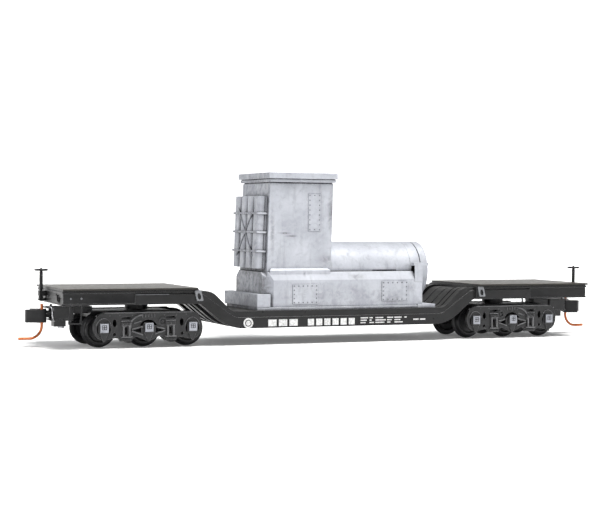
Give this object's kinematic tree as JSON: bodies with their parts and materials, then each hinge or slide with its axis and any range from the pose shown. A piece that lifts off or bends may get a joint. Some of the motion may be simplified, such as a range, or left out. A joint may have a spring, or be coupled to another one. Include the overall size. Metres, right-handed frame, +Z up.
{
  "type": "model flat car",
  "caption": "Model depressed-centre flat car on two swivelling three-axle trucks with knuckle couplers, carrying a lift-off cast machine load.",
  "frame": {"origin": "centre of the car's footprint at the lowest point of the wheel flanges", "axes": "+X along the car, +Y across it, +Z up"},
  "size_m": [0.115, 0.0196, 0.0309],
  "materials": {
    "black_casting": "satin black paint on zinc casting",
    "deck_paint": "satin black paint",
    "black_wire": "black coated wire and strip",
    "black_plastic": "moulded black plastic",
    "truck_plastic": "moulded black plastic, satin",
    "wheel_plastic": "moulded black plastic",
    "coupler_plastic": "moulded black plastic",
    "pale_fittings": "pale grey moulded fittings",
    "steel": "plated steel",
    "bronze_wire": "copper-coloured bronze wire",
    "load_metal": "silver-grey painted casting, lightly weathered"
  },
  "bodies": {
    "car": {"underframe": "black_casting", "deck_plate_a": "deck_paint", "deck_plate_b": "deck_paint", "roping_eyes": "pale_fittings", "sill_steps": "black_wire", "brake_brackets": "black_wire", "bolster_pin_a": "black_plastic", "bolster_pin_b": "black_plastic"},
    "truck_a": {"truck_frame_a": "truck_plastic", "journal_lids_a": "pale_fittings", "coupler_box_lid_a": "truck_plastic", "box_screw_a": "steel", "centring_spring_a": "steel"},
    "coupler_a": {"coupler_guard_half_a": "coupler_plastic"},
    "knuckle_a": {"coupler_knuckle_half_a": "coupler_plastic", "trip_pin_a": "bronze_wire"},
    "brake_a": {"brake_staff_a": "black_wire", "hand_wheel_a": "black_wire"},
    "wheels_a1": {"wheelset_a1": "wheel_plastic"},
    "wheels_a2": {"wheelset_a2": "wheel_plastic"},
    "wheels_a3": {"wheelset_a3": "wheel_plastic"},
    "truck_b": {"truck_frame_b": "truck_plastic", "journal_lids_b": "pale_fittings", "coupler_box_lid_b": "truck_plastic", "box_screw_b": "steel", "centring_spring_b": "steel"},
    "coupler_b": {"coupler_guard_half_b": "coupler_plastic"},
    "knuckle_b": {"coupler_knuckle_half_b": "coupler_plastic", "trip_pin_b": "bronze_wire"},
    "brake_b": {"brake_staff_b": "black_wire", "hand_wheel_b": "black_wire"},
    "wheels_b1": {"wheelset_b1": "wheel_plastic"},
    "wheels_b2": {"wheelset_b2": "wheel_plastic"},
    "wheels_b3": {"wheelset_b3": "wheel_plastic"},
    "load": {"load_base": "load_metal", "load_plinth": "load_metal", "load_tower": "load_metal", "load_cap": "load_metal", "radiator_bank": "load_metal", "radiator_straps": "load_metal", "load_barrel": "load_metal", "end_bracket": "load_metal", "barrel_end_plate": "load_metal", "access_panels": "load_metal"}
  },
  "joints": [
    {"name": "truck_a_swivel", "type": "hinge", "parent": "car", "child": "truck_a", "pos_m": [-0.03635, 0, 0.0063], "axis": [0, 0, 1], "range_deg": [-12, 12]},
    {"name": "coupler_a_swing", "type": "hinge", "parent": "truck_a", "child": "coupler_a", "pos_m": [-0.04995, 0, 0.006], "axis": [0, 0, 1], "range_deg": [-12, 12], "stiffness_Nm_per_rad": 0.0001},
    {"name": "knuckle_a_open", "type": "hinge", "parent": "coupler_a", "child": "knuckle_a", "pos_m": [-0.04995, 0, 0.0055], "axis": [0, 0, 1], "range_deg": [0, 8], "stiffness_Nm_per_rad": 0.0001},
    {"name": "brake_a_turn", "type": "hinge", "parent": "car", "child": "brake_a", "pos_m": [-0.05264, 0.0036, 0.0105], "axis": [0, 0, 1], "continuous": true},
    {"name": "wheels_a1_roll", "type": "hinge", "parent": "truck_a", "child": "wheels_a1", "pos_m": [-0.04435, 0, 0.00313], "axis": [0, 1, 0], "continuous": true},
    {"name": "wheels_a2_roll", "type": "hinge", "parent": "truck_a", "child": "wheels_a2", "pos_m": [-0.03635, 0, 0.00313], "axis": [0, 1, 0], "continuous": true},
    {"name": "wheels_a3_roll", "type": "hinge", "parent": "truck_a", "child": "wheels_a3", "pos_m": [-0.02835, 0, 0.00313], "axis": [0, 1, 0], "continuous": true},
    {"name": "truck_b_swivel", "type": "hinge", "parent": "car", "child": "truck_b", "pos_m": [0.03635, 0, 0.0063], "axis": [0, 0, 1], "range_deg": [-12, 12]},
    {"name": "coupler_b_swing", "type": "hinge", "parent": "truck_b", "child": "coupler_b", "pos_m": [0.04995, 0, 0.006], "axis": [0, 0, 1], "range_deg": [-12, 12], "stiffness_Nm_per_rad": 0.0001},
    {"name": "knuckle_b_open", "type": "hinge", "parent": "coupler_b", "child": "knuckle_b", "pos_m": [0.04995, 0, 0.0055], "axis": [0, 0, 1], "range_deg": [0, 8], "stiffness_Nm_per_rad": 0.0001},
    {"name": "brake_b_turn", "type": "hinge", "parent": "car", "child": "brake_b", "pos_m": [0.05264, -0.0036, 0.0105], "axis": [0, 0, 1], "continuous": true},
    {"name": "wheels_b1_roll", "type": "hinge", "parent": "truck_b", "child": "wheels_b1", "pos_m": [0.04435, 0, 0.00313], "axis": [0, 1, 0], "continuous": true},
    {"name": "wheels_b2_roll", "type": "hinge", "parent": "truck_b", "child": "wheels_b2", "pos_m": [0.03635, 0, 0.00313], "axis": [0, 1, 0], "continuous": true},
    {"name": "wheels_b3_roll", "type": "hinge", "parent": "truck_b", "child": "wheels_b3", "pos_m": [0.02835, 0, 0.00313], "axis": [0, 1, 0], "continuous": true},
    {"name": "load_lift", "type": "slide", "parent": "car", "child": "load", "axis": [0, 0, 1], "range_m": [0, 0.02]}
  ]
}
